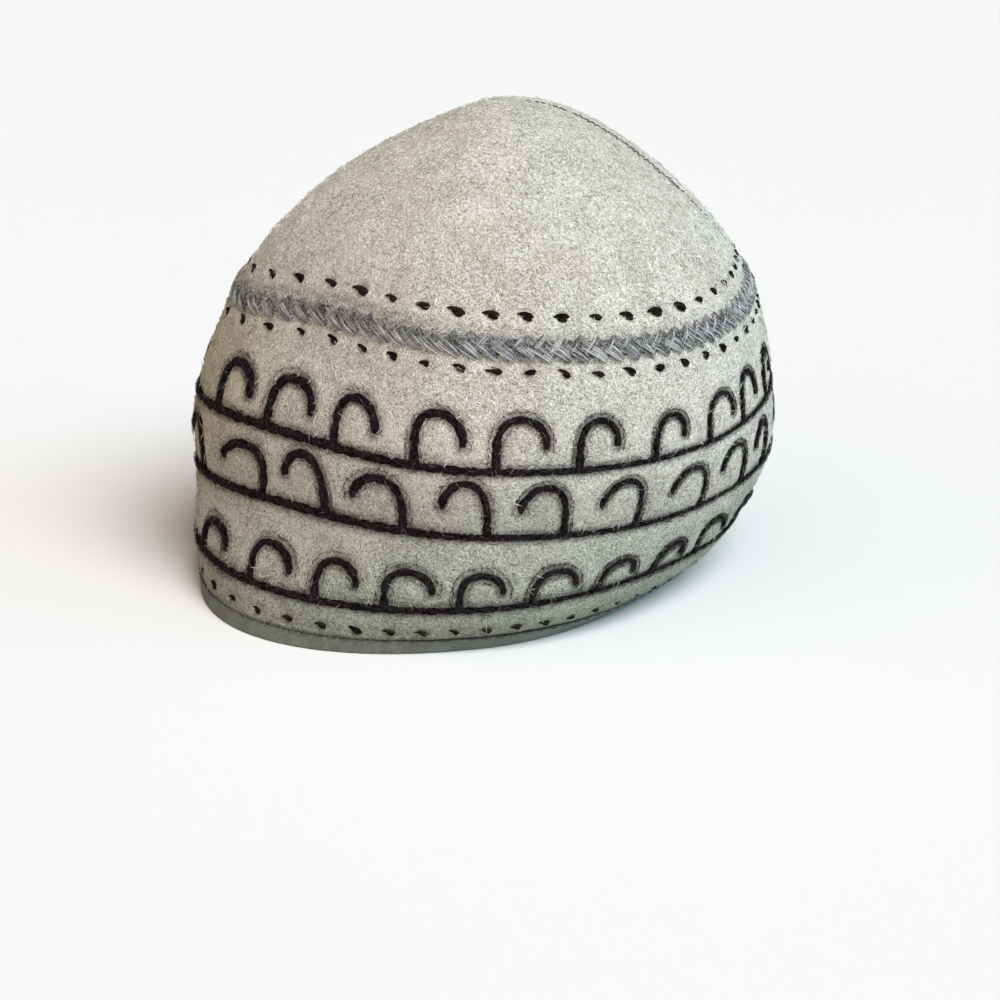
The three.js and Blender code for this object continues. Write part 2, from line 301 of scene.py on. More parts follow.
# %% Places of the running stitches
WIDEST_GAP_ANGLE = math.radians(205)
GAP_DIFFERENCE = 0.35
THINNEST_YARN = 0.62
FRONT_ANGLE = math.radians(264)
FRONT_SPREAD = 0.6
FRONT_CLOSING = 0.19
RIM_DOT_HEIGHT = 7.4


def hill(distance, width):
    """A soft hill, 1 in the middle, that falls away over a width."""
    return np.exp(-(distance / width) ** 2)


def widening(angle):
    """How much wider than usual the sewing is spaced at an angle: most at the front left."""
    return 1 + GAP_DIFFERENCE * np.cos(angle - WIDEST_GAP_ANGLE)


def yarn_thickness(angle):
    """How thick the yarn is at an angle: it thins toward the right, like the gaps."""
    return np.maximum(THINNEST_YARN, 0.8 * widening(angle) ** 1.5)


def spaced_places(levels, count):
    """Places of a number of stitches on a line that goes all round."""
    per_radian = face_frame(levels, ROUND)[3]
    closer = 1 - FRONT_CLOSING * hill(ROUND - FRONT_ANGLE, FRONT_SPREAD)
    share = np.cumsum(per_radian / (widening(ROUND) * closer))
    share = (share - share[0]) / (share[-1] - share[0])
    angle = np.interp((np.arange(count) + 0.5) / count, share, ROUND)
    return np.interp(angle, ROUND, levels), angle


plait_levels = row_level("plait", ROUND)
rim_dot_levels = np.full(len(ROUND), level_at(RIM_DOT_HEIGHT))
DOT_ROWS = {
    "above the plait": dict(line=plait_levels, up=9.0, count=49, size=0.97),
    "below the plait": dict(line=plait_levels, up=-7.0, count=53, size=0.9),
    "over the binding": dict(line=rim_dot_levels, up=0.0, count=58, size=0.68),
}
dot_places = {}
for name, row in DOT_ROWS.items():
    dot_places[name] = walk(*spaced_places(row["line"], row["count"]), np.zeros(1), row["up"])
print("running stitches:", {name: len(places[0]) for name, places in dot_places.items()})

# %% [markdown]
# ## The felt wall
# The wall is soft felt, sewn through, so it dips under each stitch and puffs up beside it. It could be
# sculpted by hand, but the places of the stitches are known, so the dips are worked out from the
# distance to the nearest yarn. A search tree finds that distance quickly for every vertex.

# %% Distances to the sewing
SEAM_LEVELS = (0, 4.5, 5.0, 5.5, 6.0, 6.5, 7)
SEAM_DEGREES = (-2, -4, -6.5, -7, -4, 2, 6)


def seam_angle(level):
    """The seam runs up the right side, a little askew."""
    return np.radians(np.interp(level, SEAM_LEVELS, SEAM_DEGREES))


def search_tree(points):
    """A tree that finds the nearest of many points."""
    tree = kdtree.KDTree(len(points))
    for number, point in enumerate(points):
        tree.insert(Vector(point), number)
    tree.balance()
    return tree


def distance_to(tree, points):
    return np.array([tree.find(Vector(point))[2] for point in points])


yarn_points = [face_point(*yarn_lines[name]) for name in SCROLL_ROWS]
yarn_points += [face_point(*hook) for name in SCROLL_ROWS for hook in yarn_hooks[name]]
yarn_tree = search_tree(np.vstack(yarn_points))
dot_tree = search_tree(np.vstack([face_point(*places) for places in dot_places.values()]))
print("yarn points that dent the felt:", sum(map(len, yarn_points)))

# %% [markdown]
# Each kind of sewing leaves puffs and dips. They are listed as the height of a hill, or the depth of
# a dip, then how far from the sewing its middle is, and how wide it is. Random lumps, listed by
# height, size and where in the noise they start, keep the rest of the felt from looking too smooth.

# %% How the felt dips and puffs
PLAIT_HALF = 4.0
FELT_LUMPS = ((0.55, 30, 3.1), (0.22, 11, 8.7), (0.1, 4, 5.3))
FELT_HILLS = {
    "yarn": ((0.45, 5, 2.4), (-0.75, 0, 1.5)),
    "stitch": ((0.2, 3.6, 1.6), (-0.8, 0, 2.1)),
    "plait": ((0.3, PLAIT_HALF + 3, 2), (-0.5, PLAIT_HALF, 1.6)),
    "seam": ((0.45, 2, 1.3), (-0.6, 0, 1.1)),
    "edge": ((-0.6, 0, 2),),
}
CALM_AT_PEAK = 0.4
RUBBED_WIDTH = 2.5


def lumps(points, size, start):
    """Soft random hills of about one size, between -1 and 1."""
    return np.array([noise.noise(Vector(point / size + start)) for point in points])


def felt_relief(level, angle):
    """How far the felt stands out of the plain face, in millimetres, and how near it is to yarn."""
    point, _, _, per_radian, per_level = face_frame(level, angle)
    distances = {
        "yarn": distance_to(yarn_tree, point),
        "stitch": distance_to(dot_tree, point),
        "plait": np.abs(level - row_level("plait", angle)) * per_level,
        "seam": ((angle - seam_angle(level) + math.pi) % FULL_TURN - math.pi) * per_radian,
        "edge": point[:, 2] - FELT_EDGE,
    }
    relief = sum(height * lumps(point, size, start) for height, size, start in FELT_LUMPS)
    for name, distance in distances.items():
        relief = relief + sum(height * hill(distance - middle, width)
                              for height, middle, width in FELT_HILLS[name])
    calm = np.clip((PEAK - level) / CALM_AT_PEAK, 0, 1)
    near_yarn = hill(distances["yarn"], RUBBED_WIDTH * yarn_thickness(angle))
    return relief * calm * calm * (3 - 2 * calm), near_yarn


middle_relief = felt_relief(np.array([2.5]), np.array([FRONT_ANGLE]))[0]
print("felt between two rows stands out by", middle_relief.round(2), "mm")

# %% [markdown]
# Wrapping a flat grid is the simplest way to such a wall: its columns go round the cap, and its rows
# go up to the peak. The rows are closer together where the sewing is. Merging by distance then closes
# the joint and the peak, and Solidify gives the felt its thickness on the inside.

# %% Helpers for vertices
def select_only(piece):
    bpy.ops.object.select_all(action="DESELECT")
    piece.select_set(True)
    bpy.context.view_layer.objects.active = piece


def vertex_places(mesh):
    places = np.empty(len(mesh.vertices) * 3)
    mesh.vertices.foreach_get("co", places)
    return places.reshape(-1, 3)


def move_vertices(mesh, places):
    mesh.vertices.foreach_set("co", placed(places).ravel())
    mesh.update()


def add_tone(mesh, name, values):
    """Gives each vertex a number that a finish can read."""
    attribute = mesh.attributes.new(name, "FLOAT", "POINT")
    attribute.data.foreach_set("value", np.asarray(values, np.float32))


# %% Wrap a grid into the felt wall
FELT_COLUMNS = 360
FELT_ROWS = 122
FELT_THICKNESS = 2.5
SEWN_ROW = 1.25
CROWN_ROW = 2.6
SEWN_ABOVE_PLAIT = 0.7
SEWN_FADE = 0.3


def felt_levels(share):
    """Levels of the grid's rows: a share of the way up, with close rows in the sewn wall."""
    levels = np.linspace(float(level_at(FELT_EDGE)), PEAK, 800)
    points = face_point(levels, np.full(len(levels), math.radians(270)))
    steps = np.diff(lengths_along(points))
    sewn = np.clip((LEVEL_OF["plait"] + SEWN_ABOVE_PLAIT - levels[1:]) / SEWN_FADE, 0, 1)
    rows = np.cumsum(steps / (CROWN_ROW + (SEWN_ROW - CROWN_ROW) * sewn))
    return np.interp(share, np.concatenate([[0], rows / rows[-1]]), levels)


bpy.ops.object.select_all(action="DESELECT")
bpy.ops.mesh.primitive_grid_add(x_subdivisions=FELT_COLUMNS, y_subdivisions=FELT_ROWS, size=2)
felt_wall = bpy.context.object
felt_wall.name = "felt_wall"
grid_share = (vertex_places(felt_wall.data)[:, :2] + 1) / 2
felt_angle = FULL_TURN * grid_share[:, 0]
felt_level = felt_levels(grid_share[:, 1])
felt_out, by_yarn = felt_relief(felt_level, felt_angle)
felt_normal = face_frame(felt_level, felt_angle)[1]
add_tone(felt_wall.data, "by_yarn", by_yarn)
move_vertices(felt_wall.data, face_point(felt_level, felt_angle) + felt_normal * felt_out[:, None])

# %% Close the felt wall and give it thickness
select_only(felt_wall)
bpy.ops.object.mode_set(mode="EDIT")
bpy.ops.mesh.select_all(action="SELECT")
bpy.ops.mesh.remove_doubles(threshold=1e-6)
bpy.ops.mesh.normals_make_consistent(inside=False)
bpy.ops.object.mode_set(mode="OBJECT")
wall = felt_wall.modifiers.new("wall", "SOLIDIFY")
wall.thickness = FELT_THICKNESS * MM
wall.offset = -1
bpy.ops.object.modifier_apply(modifier=wall.name)
bpy.ops.object.shade_smooth()
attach(felt_wall, "root")
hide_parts("felt_crown")
print("felt wall:", len(felt_wall.data.polygons), "faces")

# %% [markdown]
# ## The binding
# A strip of smoother cloth is folded over the raw edge of the felt. A torus already goes round and
# closes on itself, so its round section is changed to a flattened one, and each vertex is put on the
# face. The underside stays at the floor, where the cap stands.

# %% Fold a torus round the rim
TORUS_RADIUS = 0.08
CORNER_POWER = 0.42
PUCKER_HEIGHT = 0.12
PUCKER_SIZE = 5

bpy.ops.object.select_all(action="DESELECT")
bpy.ops.mesh.primitive_torus_add(
    major_radius=TORUS_RADIUS, minor_radius=0.002, major_segments=256, minor_segments=32)
binding = bpy.context.object
binding.name = "folded_binding"
across, deep, tall = vertex_places(binding.data).T
rim_angle = np.arctan2(deep, across)
fold_angle = np.arctan2(tall, np.hypot(across, deep) - TORUS_RADIUS)


def squarish(wave):
    """A wave between -1 and 1 with flattened tops, for a section with soft corners."""
    return np.sign(wave) * np.abs(wave) ** CORNER_POWER


fold_height = BINDING_HEIGHT / 2 * (1 + squarish(np.sin(fold_angle)))
fold_inset = BINDING_THICKNESS / 2 * (1 - squarish(np.cos(fold_angle)))
fold_point, fold_normal = face_frame(level_at(fold_height), rim_angle)[:2]
puckers = PUCKER_HEIGHT * lumps(np.column_stack([fold_point[:, :2], fold_height]), PUCKER_SIZE, 1.9)
flat_normal = unit(fold_normal * (1, 1, 0))
fold_point = fold_point - flat_normal * (fold_inset - puckers)[:, None]
fold_point[:, 2] = fold_height
move_vertices(binding.data, fold_point)
select_only(binding)
bpy.ops.object.shade_smooth()
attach(binding, "root")
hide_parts("rim_binding")
print("binding:", len(binding.data.polygons), "faces")

# %% [markdown]
# ## Strands
# Yarn, stitches and plait are many thin strands, too many to model one by one. One helper makes them
# all as closed tubes: it lays a ring of vertices round each point of each path, joins the rings with
# faces, and closes both ends, or joins the last ring to the first where a strand goes all round.
# The whole bundle becomes one mesh, filled from arrays, and each strand keeps a tone of its own.

# %% Strands as closed tubes
def strand_frames(points, normals, looped=False):
    """The sideways and upward direction at each point of strands that lie on the face."""
    if looped:
        heading = np.roll(points, -1, axis=-2) - np.roll(points, 1, axis=-2)
    else:
        heading = np.gradient(points, axis=-2)
    side = unit(np.cross(normals, unit(heading)))
    return side, unit(np.cross(unit(heading), side))


def strand_mesh(points, side, top, width, rise, tone, corners=6, looped=False):
    """Vertices, faces and tones of closed strands. The points are strands by points by three."""
    strands, rings = points.shape[:2]
    side, top = [np.broadcast_to(ways, points.shape) for ways in (side, top)]
    width, rise = [np.broadcast_to(sizes, (strands, rings)) for sizes in (width, rise)]
    turn = np.arange(corners) / corners * FULL_TURN
    ring = points[:, :, None] + side[:, :, None] * (np.cos(turn) * width[..., None])[..., None]
    ring = ring + top[:, :, None] * (np.sin(turn) * rise[..., None])[..., None]
    number = np.arange(strands * rings * corners).reshape(strands, rings, corners)
    if looped:
        number = np.concatenate([number, number[:, :1]], axis=1)
    here, there = number[:, :-1], number[:, 1:]
    quads = np.stack([here, np.roll(here, -1, 2), np.roll(there, -1, 2), there], axis=-1).reshape(-1, 4)
    vertices = ring.reshape(-1, 3)
    tones = np.repeat(tone, rings * corners)
    if looped:
        return vertices, quads, np.empty((0, 3), int), tones
    first, last = number[:, 0], number[:, -1]
    start_pole = len(vertices) + np.arange(strands)[:, None] + np.zeros_like(first)
    end_pole = start_pole + strands
    caps = [np.stack([start_pole, np.roll(first, -1, 1), first], axis=-1),
            np.stack([end_pole, last, np.roll(last, -1, 1)], axis=-1)]
    poles = np.concatenate([points[:, 0], points[:, -1]])
    triangles = np.concatenate([cap.reshape(-1, 3) for cap in caps])
    return np.vstack([vertices, poles]), quads, triangles, np.concatenate([tones, tone, tone])


# %% One object from many strands
def joined_piece(name, parts, replaced=None):
    """One object from several sets of vertices, four-sided faces, triangles and tones."""
    starts = np.cumsum([0] + [len(part[0]) for part in parts[:-1]])
    vertices = np.vstack([part[0] for part in parts])
    quads = np.vstack([part[1] + start for part, start in zip(parts, starts)])
    triangles = np.vstack([part[2] + start for part, start in zip(parts, starts)])
    mesh = bpy.data.meshes.new(name)
    mesh.vertices.add(len(vertices))
    mesh.loops.add(quads.size + triangles.size)
    mesh.polygons.add(len(quads) + len(triangles))
    mesh.vertices.foreach_set("co", placed(vertices).ravel())
    corners = np.concatenate([quads.ravel(), triangles.ravel()])
    mesh.loops.foreach_set("vertex_index", corners)
    sizes = np.concatenate([np.full(len(quads), 4), np.full(len(triangles), 3)])
    mesh.polygons.foreach_set("loop_start", np.cumsum(sizes) - sizes)
    mesh.polygons.foreach_set("use_smooth", np.ones(len(sizes), bool))
    add_tone(mesh, "tone", np.concatenate([part[3] for part in parts]))
    mesh.update(calc_edges=True)
    mesh.validate()
    piece = bpy.data.objects.new(name, mesh)
    bpy.context.scene.collection.objects.link(piece)
    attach(piece, "root")
    if replaced:
        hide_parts(replaced)
    print(name, 2 * len(quads) + len(triangles), "triangles")
    return piece


# %% [markdown]
# ## The scroll yarn
# The dark lines are thick woollen yarn, sewn down so that they sink into the felt. Two plies
# wind loosely round each other and swell and thin a little, as hand-spun wool does. They are real
# strands and not only a bump, so that the line has an uneven edge.

# %% Twist the plies of each scroll row
YARN_PLIES = 2
PLY_PITCH = 11.0
PLY_SWING = 0.3
PLY_HALF_WIDTH = 0.9
LINE_SHARE = 0.98
HOOK_SHARES = (0, 0.15, 0.5, 0.85, 0.96, 1)
HOOK_WIDTHS = (1.25, 1.15, 0.94, 1.15, 1.1, 0.6)
YARN_FLATTEN = 0.62
YARN_SWELL = 0.3
YARN_SWELL_LENGTH = 1.8


def yarn_plies(places, share, looped):
    """The plies of one stretch of yarn that runs through places on the face."""
    point, normal = face_frame(*places)[:2]
    side, top = strand_frames(point, normal, looped)
    length = lengths_along(point)
    whole = length[-1] + (length[-1] / (len(point) - 1) if looped else 0)
    turns = max(1, round(whole / PLY_PITCH))
    start = hand.uniform(0, FULL_TURN)
    thick = yarn_thickness(places[1]) * share
    plies = []
    for ply in range(YARN_PLIES):
        swing = FULL_TURN * (length / whole * turns + ply / YARN_PLIES) + start
        out = PLY_SWING * YARN_FLATTEN * thick * np.sin(swing)
        plies.append(point + side * (PLY_SWING * thick * np.cos(swing))[:, None] + normal * out[:, None])
    width = PLY_HALF_WIDTH * thick * (1 + YARN_SWELL * lumps(point, YARN_SWELL_LENGTH, 4.4))
    if not looped:
        width = width * np.interp(length / whole, HOOK_SHARES, HOOK_WIDTHS)
    tone = hand.uniform(0, 1, YARN_PLIES)
    return strand_mesh(np.stack(plies), side, top, width, width * YARN_FLATTEN, tone, looped=looped)


# %% Sew the three scroll rows
scroll_pieces = []
for name, row in SCROLL_ROWS.items():
    bundles = [yarn_plies(yarn_lines[name], row["yarn"] * LINE_SHARE, True)]
    bundles += [yarn_plies(hook, row["yarn"], False) for hook in yarn_hooks[name]]
    scroll_pieces.append(joined_piece(name + "_yarn", bundles, name))

# %% [markdown]
# ## Fine stitches
# A line of small dashes runs along the top of the binding, where it is sewn on, and another beside
# the seam at the right. A dash is a short strand whose ends dip into the felt. The thread is too fine to
# show a twist, so four corners round it are enough.

# %% Short dashes from arrays
DASH_LIFTS = np.array([-0.35, 0.22, 0.3, 0.22, -0.35])
DASH_SLANT = 0.08
DASH_DIFFERENCE = 0.12


def dashes(places, length, half_width, lift, looped=False):
    """Short stitches in a line, each along the run of the places."""
    point, normal = face_frame(*places)[:2]
    side, top = strand_frames(point, normal, looped)
    turn = DASH_SLANT * hand.standard_normal((len(point), 1))
    heading = unit(np.cross(side, top) + side * turn)
    long = length * (1 + DASH_DIFFERENCE * hand.standard_normal(len(point)))
    reach = np.linspace(-0.5, 0.5, len(DASH_LIFTS))
    points = point[:, None] + heading[:, None] * (long[:, None] * reach)[..., None]
    points = points + normal[:, None] * (DASH_LIFTS + lift)[:, None]
    tone = hand.uniform(0, 1, len(point))
    return strand_mesh(points, side[:, None], top[:, None], half_width, half_width, tone, corners=4)


# %% Dashes on the binding and the seam
BINDING_DASH_SPACING = 4.2
SEAM_DASHES = 92

binding_run = line_places(np.full(len(ROUND), level_at(FELT_EDGE)), BINDING_DASH_SPACING)
binding_dashes = dashes(binding_run, length=3.3, half_width=0.17, lift=0.1, looped=True)
seam_levels = np.linspace(float(level_at(FELT_EDGE)) + 0.05, PEAK - 0.25, 1000)
seam_points = face_point(seam_levels, seam_angle(seam_levels))
seam_level = evenly(seam_points, SEAM_DASHES, seam_levels)[:, 3]
seam_dashes = dashes((seam_level, seam_angle(seam_level)), length=2.4, half_width=0.2, lift=-0.25)
edge_stitches = joined_piece("edge_stitches", [binding_dashes, seam_dashes])

# %% [markdown]
# ## Running stitches
# Each running stitch is a short fat drop of dark yarn, like a comma: a pointed tail at the upper left
# and a round body at the lower right. Two plies show in it, one long and one short below it. Strands
# whose width swells along a bent path have this form.

# %% Dots like commas
DOT_PLIES = {
    "long": dict(along=(-3.1, -1.8, -0.3, 1.2, 2.3), up=(0.45, 0.6, 0.45, 0.15, -0.3),
                 half_width=(0.17, 0.55, 0.8, 0.8, 0.33), lift=(-0.05, 0.15, 0.2, 0.1, -0.3)),
    "short": dict(along=(-1.2, -0.3, 0.6, 1.3, 1.9), up=(-0.1, -0.4, -0.65, -0.8, -0.95),
                  half_width=(0.3, 0.62, 0.74, 0.62, 0.24), lift=(-0.3, 0.0, 0.1, 0.0, -0.4)),
}
DOT_RINGS = 9
DOT_LEAN = 0.14
DOT_DIFFERENCE = 0.1
DOT_STRETCH = 0.88
DOT_WANDER = 0.12
DOT_FLATTEN = 0.7


def running_stitches(places, size):
    """The two plies of all running stitches of one row."""
    point, normal, round_way = face_frame(*places)[:3]
    up_way = np.cross(normal, round_way)
    lean = DOT_LEAN * hand.standard_normal((len(point), 1))
    grown = size * (1 + DOT_DIFFERENCE * hand.standard_normal((len(point), 1)))
    stretch = DOT_STRETCH * widening(places[1])[:, None]
    bundles = []
    for ply in DOT_PLIES.values():
        course = evenly(np.column_stack([ply["along"], ply["up"]]), DOT_RINGS, ply["half_width"], ply["lift"])
        wander = DOT_WANDER * hand.standard_normal((2, len(point), 1))
        along = (course[:, 0] * np.cos(lean) + course[:, 1] * np.sin(lean)) * grown * stretch + wander[0]
        up = (course[:, 1] * np.cos(lean) - course[:, 0] * np.sin(lean)) * grown + wander[1]
        points = point[:, None] + round_way[:, None] * along[..., None] + up_way[:, None] * up[..., None]
        points = points + normal[:, None] * course[:, 3][:, None]
        side, top = strand_frames(points, normal[:, None])
        width = course[:, 2] * grown
        tone = hand.uniform(0, 1, len(point))
        bundles.append(strand_mesh(points, side, top, width, width * DOT_FLATTEN, tone, corners=8))
    return bundles


# %% Sew the running stitches
dot_bundles = []
for name, row in DOT_ROWS.items():
    dot_bundles += running_stitches(dot_places[name], row["size"])
dots = joined_piece("running_stitches", dot_bundles)

# %% [markdown]
# ## The plait
# A band of grey yarn is plaited round the foot of the crown. Its strands run from edge to edge, some
# rising to the right and some falling. A rising strand is on top in the upper half, a falling one in the
# lower half, so that they look like a row of arrow heads. A pattern on a flat band would look painted
# from the side, so every ply is a strand. A flat core lies under them at the lowest tone, darker than
# most strands: painted shade in the gaps between them.

# %% Strands of the plait
PLAIT_STRANDS = {
    "rising": dict(along=(-3.2, -1.5, 0.3, 2.0), up=(-3.2, -1.2, 1.2, 3.5), lift=(-0.3, 0.3, 1.1, 0.0),
                   plies=4),
    "falling": dict(along=(-3.6, -1.6, 1.4, 4.0), up=(3.2, 0.8, -1.5, -3.6), lift=(-0.3, 0.35, 1.2, 0.0),
                    plies=7),
}
PLAIT_PLY_GAP = 0.44
PLAIT_PLY_HALF = 0.27
PLAIT_PLY_WANDER = 0.16
PLAIT_PLY_SLOPE = 0.16
PLAIT_PLY_UNEVEN = 0.1
PLAIT_RINGS = 8


def plait_strands(level, angle, course):
    """Every strand of one slant, as plies side by side that spread in the middle like a leaf."""
    point, normal, round_way = face_frame(level, angle)[:3]
    up_way = np.cross(normal, round_way)
    path = evenly(np.column_stack([course["along"], course["up"]]), PLAIT_RINGS, course["lift"])
    stretch = np.stack([widening(angle), np.ones(len(angle))], axis=1)[:, None]
    across = unit(np.gradient(path[:, :2], axis=0))[:, ::-1] * (-1, 1)
    leaf = 0.55 + 0.45 * np.sin(np.linspace(0.1, 1, PLAIT_RINGS) * math.pi)[:, None]
    plies = []
    for ply in range(course["plies"]):
        offset = (ply - (course["plies"] - 1) / 2) * PLAIT_PLY_GAP
        wander = PLAIT_PLY_WANDER * hand.standard_normal((len(point), 1, 2))
        flat = path[:, :2] * stretch + across * leaf * offset + wander
        uneven = PLAIT_PLY_UNEVEN * hand.standard_normal((len(point), 1))
        lift = path[:, 2] - PLAIT_PLY_SLOPE * abs(offset) + uneven
        plies.append(point[:, None] + round_way[:, None] * flat[..., :1] + up_way[:, None] * flat[..., 1:]
                     + normal[:, None] * lift[..., None])
    points = np.concatenate(plies)
    side, top = strand_frames(points, np.tile(normal, (course["plies"], 1))[:, None])
    start_taper = np.clip(np.linspace(0.7, 3, PLAIT_RINGS), 0, 1)
    end_taper = np.clip(np.linspace(3, 0.45, PLAIT_RINGS), 0, 1)
    width = PLAIT_PLY_HALF * start_taper * end_taper
    tone = hand.uniform(0, 1, len(points))
    return strand_mesh(points, side, top, width, width * 0.85, tone, corners=5)


# %% Plait the band
PLAIT_REPEATS = 98


def plait_shade_core(spacing=2, half_width=2.4, half_height=0.4, lift=0.05):
    """A low flat band under the strands, at the lowest tone: painted shade in the gaps between them."""
    point, normal = face_frame(*line_places(plait_levels, spacing))[:2]
    side, top = strand_frames(point, normal, looped=True)
    middle = (point + normal * lift)[None]
    return strand_mesh(middle, side, top, half_width, half_height, np.zeros(1), corners=10, looped=True)


plait_places = spaced_places(plait_levels, PLAIT_REPEATS)
# The core is painted shade between the plait's strands.
plait_parts = [plait_shade_core()]
plait_parts += [plait_strands(*plait_places, course) for course in PLAIT_STRANDS.values()]
plait = joined_piece("plait_strands", plait_parts, "plaited_band")

# %% [markdown]
# ## The nap
# Felt has loose fibres that lie over its face and blur its outline. Blender's hair would not be a
# mesh, so each fibre is a thin three-sided spike with a bend in it: few faces, but thousands of
# them. They lie almost flat, with tips that turn back to the felt, and a few stand up.

# %% Loose fibres from arrays
FIBRE_BEND = 0.18
FIBRE_SUNK = 0.25


def fibres(root, normal, heading, length, stand, half_width, tone):
    """Closed spikes with a bend: a ring at the root, a ring in the middle and a tip."""
    middle = root + heading * (0.5 * length)[:, None] + normal * stand[:, None]
    side = np.cross(normal, heading)
    bent = side * (length * FIBRE_BEND * hand.standard_normal(len(root)))[:, None]
    tip = root + heading * length[:, None] + bent + normal * (0.6 * stand)[:, None]
    turn = np.arange(3) / 3 * FULL_TURN
    ring = side[:, None] * np.cos(turn)[:, None] + normal[:, None] * np.sin(turn)[:, None]
    ring = ring * np.asarray(half_width).reshape(-1, 1, 1)
    sunk = root - normal * FIBRE_SUNK
    corners = np.concatenate([sunk[:, None] + ring, middle[:, None] + ring * 0.9, tip[:, None]], axis=1)
    sides = [(place, (place + 1) % 3) for place in range(3)]
    faces = [(2, 1, 0)]
    faces += [(a, b, 3 + b) for a, b in sides] + [(a, 3 + b, 3 + a) for a, b in sides]
    faces += [(3 + a, 3 + b, 6) for a, b in sides]
    triangles = np.arange(len(root))[:, None, None] * 7 + np.array(faces)
    return corners.reshape(-1, 3), np.empty((0, 4), int), triangles.reshape(-1, 3), np.repeat(tone, 7)


# %% Scatter the nap over the felt
SCATTER_GRID = 160
NAP_LENGTH = 3.0
NAP_HALF_WIDTHS = (0.06, 0.13)


def scattered(count, low, high):
    """Places spread evenly over the face between two levels."""
    levels = np.linspace(low, high, SCATTER_GRID)
    angles = np.linspace(0, FULL_TURN, SCATTER_GRID, endpoint=False)
    places = np.array(np.meshgrid(levels, angles, indexing="ij")).reshape(2, -1)
    _, _, _, per_radian, per_level = face_frame(*places)
    area = per_radian * per_level
    picked = hand.choice(len(area), count, p=area / area.sum())
    spread = np.array([[levels[1] - levels[0]], [angles[1]]]) * hand.uniform(-0.5, 0.5, (2, count))
    level, angle = places[:, picked] + spread
    return np.clip(level, low, high), angle


def felt_nap(name, count, low, high):
    """Loose fibres of the felt between two levels, in all directions. Most lie flat."""
    level, angle = scattered(count, low, high)
    point, normal, round_way = face_frame(level, angle)[:3]
    root = point + normal * felt_relief(level, angle)[0][:, None]
    turn = hand.uniform(0, FULL_TURN, count)
    up_way = np.cross(normal, round_way)
    heading = round_way * np.cos(turn)[:, None] + up_way * np.sin(turn)[:, None]
    length = np.clip(hand.normal(NAP_LENGTH, NAP_LENGTH / 3, count), 0.4 * NAP_LENGTH, 2 * NAP_LENGTH)
    stand = 0.1 + 0.5 * hand.uniform(0, 1, count) ** 3
    half_width = hand.uniform(*NAP_HALF_WIDTHS, count)
    tone = hand.uniform(0, 1, count)
    return joined_piece(name, [fibres(root, normal, heading, length, stand, half_width, tone)])


wall_nap = felt_nap("wall_nap", count=12000, low=float(level_at(FELT_EDGE + 3)), high=LEVEL_OF["plait"])
crown_nap = felt_nap("crown_nap", count=10000, low=LEVEL_OF["plait"], high=PEAK - 0.1)

# %% [markdown]
# The yarn is wool too. Its own fibres fray out along the lines and hooks, and the needle has dragged
# some into a broken dark outline beside each hook and above each line. Pale fibres of the felt lie
# across the yarn in places, and grey ones blur the plait. One helper lays them all. The kinds differ in
# how far aside of the yarn they lie, how long and thick they are, and how much they slant.

# %% Kinds of fibres along the yarn
FIBRE_KINDS = {
    "line fray": dict(aside=0, spread=0.9, length=2.4, half_width=0.07, slant=0.5),
    "hook fray": dict(aside=0, spread=0.8, length=2.2, half_width=0.07, slant=0.5),
    "outer outline": dict(aside=2.5, spread=0.3, length=1.7, half_width=0.085, slant=0.3),
    "inner outline": dict(aside=-2.1, spread=0.3, length=1.5, half_width=0.07, slant=0.3),
    "line outline": dict(aside=2.2, spread=0.25, length=1.4, half_width=0.065, slant=0.25),
    "pale on scrolls": dict(aside=0, spread=1.1, length=2.4, half_width=0.034, slant=0.9, tones=(0, 0.4)),
    "pale on plait": dict(aside=0, spread=1.4, length=2.8, half_width=0.05, slant=1.0),
    "plait fuzz": dict(aside=0, spread=2.2, length=2.6, half_width=0.05, slant=0.9),
    "upper fuzz": dict(aside=0, spread=1.2, length=2.4, half_width=0.05, slant=1.0, tones=(0, 0.6)),
}
YARN_RISES = {"scroll": dict(height=0.8, width=1.5), "plait": dict(height=1.0, width=3.2)}


def loose_fibres(kind, places, yarn, curl=1):
    """Fibres of one kind along a run of places, lying on yarn. The curl of a hook says where aside is."""
    fibre = FIBRE_KINDS[kind]
    rise = YARN_RISES[yarn]
    point, normal = face_frame(*places)[:2]
    thickness = yarn_thickness(places[1])
    ahead = unit(np.gradient(point, axis=0))
    count = len(point)
    sideways = unit(np.cross(normal, ahead))
    turn = fibre["slant"] * hand.standard_normal(count) + math.pi * hand.integers(0, 2, count)
    heading = ahead * np.cos(turn)[:, None] + sideways * np.sin(turn)[:, None]
    shift = hand.normal(fibre["aside"] * curl, fibre["spread"], count) * thickness
    lift = 0.15 + rise["height"] * thickness * hill(shift, rise["width"])
    mean = fibre["length"]
    length = np.clip(hand.normal(mean, 0.3 * mean, count), 0.5 * mean, 2 * mean)
    root = point + sideways * shift[:, None] + normal * lift[:, None] - heading * (0.5 * length)[:, None]
    stand = 0.3 * hand.uniform(0, 1, count) ** 2
    half_width = fibre["half_width"] * hand.uniform(0.7, 1.3, count)
    tone = hand.uniform(*fibre.get("tones", (0, 1)), count)
    return fibres(root, normal, heading, length, stand, half_width, tone)


def every(step, places):
    """Every second, third or further one of a run of places."""
    return places[0][::step], places[1][::step]


# %% Fibres of the scroll yarn
PALE_EVERY = 7

